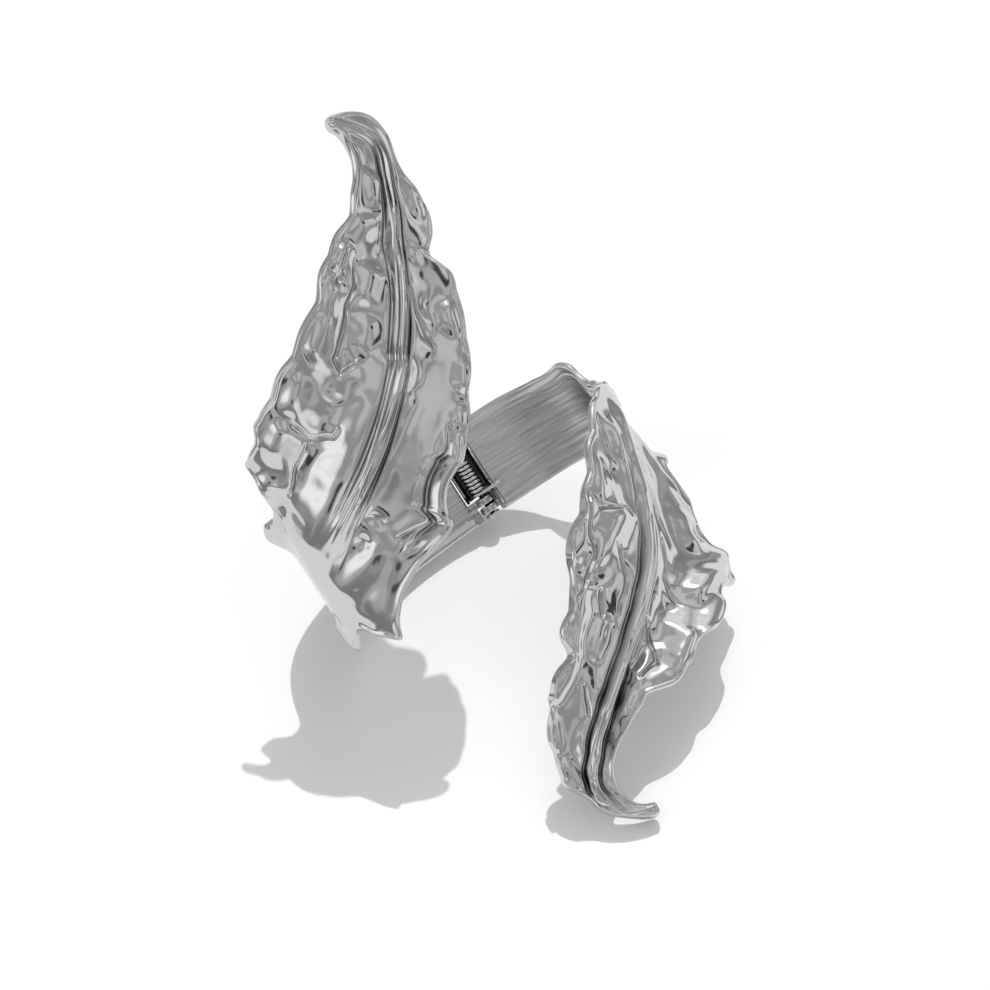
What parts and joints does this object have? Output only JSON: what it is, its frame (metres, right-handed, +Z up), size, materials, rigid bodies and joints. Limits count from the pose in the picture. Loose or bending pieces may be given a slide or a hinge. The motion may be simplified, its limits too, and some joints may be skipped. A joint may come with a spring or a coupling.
{
  "type": "spring-hinged leaf cuff clip",
  "caption": "Polished metal hair cuff of leaf-shaped wings joined at the back by a sprung hinge; it springs shut round a ponytail or bun.",
  "frame": {"origin": "on the floor, under the middle of the part's bounding box, with the part lying at rest", "axes": "+Z up; -Y towards the viewer who sees both leaves' outer faces, high leaf on the -X side; the hinge pin leans along (-0.541, 0.580, 0.609)"},
  "size_m": [0.0728, 0.0822, 0.0718],
  "materials": {
    "cast_upper": "polished silver-tone plating",
    "cast_lower": "polished silver-tone plating",
    "pin_steel": "drawn steel",
    "spring_steel": "bright spring wire"
  },
  "bodies": {
    "lower_half": {"lower_leaf_half": "cast_lower", "hinge_pin": "pin_steel", "torsion_spring": "spring_steel"},
    "upper_half": {"upper_leaf_half": "cast_upper"}
  },
  "joints": [
    {"name": "hinge", "type": "hinge", "parent": "lower_half", "child": "upper_half", "pos_m": [-0.00364, 0.01988, 0.00748], "axis": [0.5415, -0.5801, -0.6085], "range_deg": [0, 60], "stiffness_Nm_per_rad": 0.02, "deforming": ["torsion_spring"]}
  ]
}
